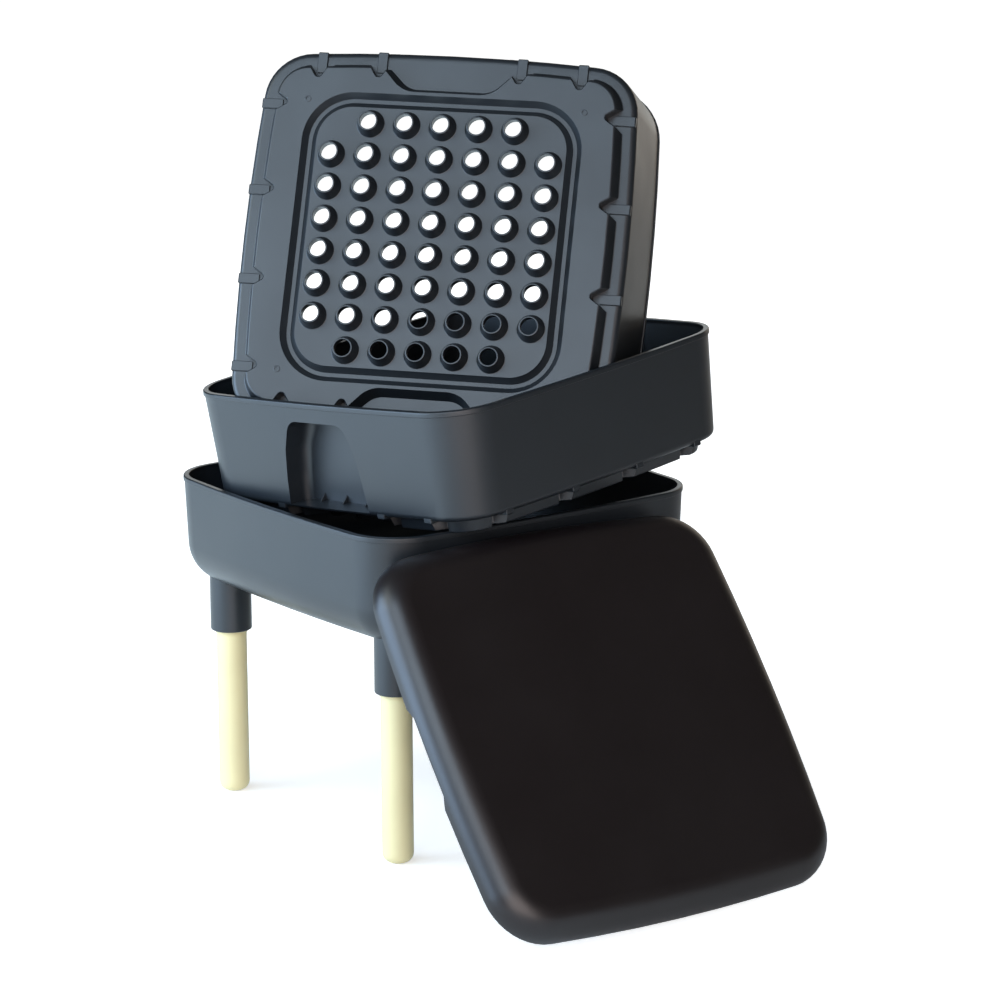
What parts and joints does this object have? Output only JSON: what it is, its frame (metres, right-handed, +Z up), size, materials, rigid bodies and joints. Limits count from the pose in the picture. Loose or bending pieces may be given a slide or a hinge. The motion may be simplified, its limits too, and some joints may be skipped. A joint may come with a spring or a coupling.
{
  "type": "worm composter",
  "caption": "Plastic worm composter, opened up: tank on cream legs with a drain tap, perforated trays put in askew and on edge, and a crowned lid leaning on the front.",
  "frame": {"origin": "on the ground, under the middle of the tank", "axes": "+Z up; -Y towards the front, where the lid leans; +X to the right of a viewer in front"},
  "size_m": [0.4426, 0.6342, 0.7205],
  "materials": {
    "charcoal_plastic": "satin, charcoal grey",
    "lid_plastic": "satin, near black",
    "cream_plastic": "satin, cream",
    "tap_plastic": "satin, black",
    "rubber": "matt, black"
  },
  "bodies": {
    "base": {"base_tank": "charcoal_plastic", "leg_front_left": "cream_plastic", "leg_front_right": "cream_plastic", "leg_back_left": "cream_plastic", "leg_back_right": "cream_plastic", "tap_body": "tap_plastic", "tap_gasket_outer": "rubber", "tap_gasket_inner": "rubber", "tap_nut": "tap_plastic"},
    "tap_valve": {"tap_plug": "tap_plastic", "tap_retainer": "tap_plastic"},
    "lower_tray_body": {"lower_tray": "charcoal_plastic"},
    "upper_tray_body": {"upper_tray": "charcoal_plastic"},
    "lid_body": {"lid": "lid_plastic"}
  },
  "joints": [
    {"name": "tap_turn", "type": "hinge", "parent": "base", "child": "tap_valve", "pos_m": [0, 0, 0.1779], "axis": [0, 1, 0], "range_deg": [0, 90]},
    {"name": "lower_tray_lift", "type": "slide", "parent": "base", "child": "lower_tray_body", "axis": [0, 0, 1], "range_m": [0, 0.2]},
    {"name": "upper_tray_lift", "type": "slide", "parent": "lower_tray_body", "child": "upper_tray_body", "axis": [0.3167, 0.2476, 0.9156], "range_m": [0, 0.3]},
    {"name": "lid_lift", "type": "slide", "parent": "base", "child": "lid_body", "axis": [-0.0085, -0.7925, 0.6099], "range_m": [0, 0.25]}
  ]
}
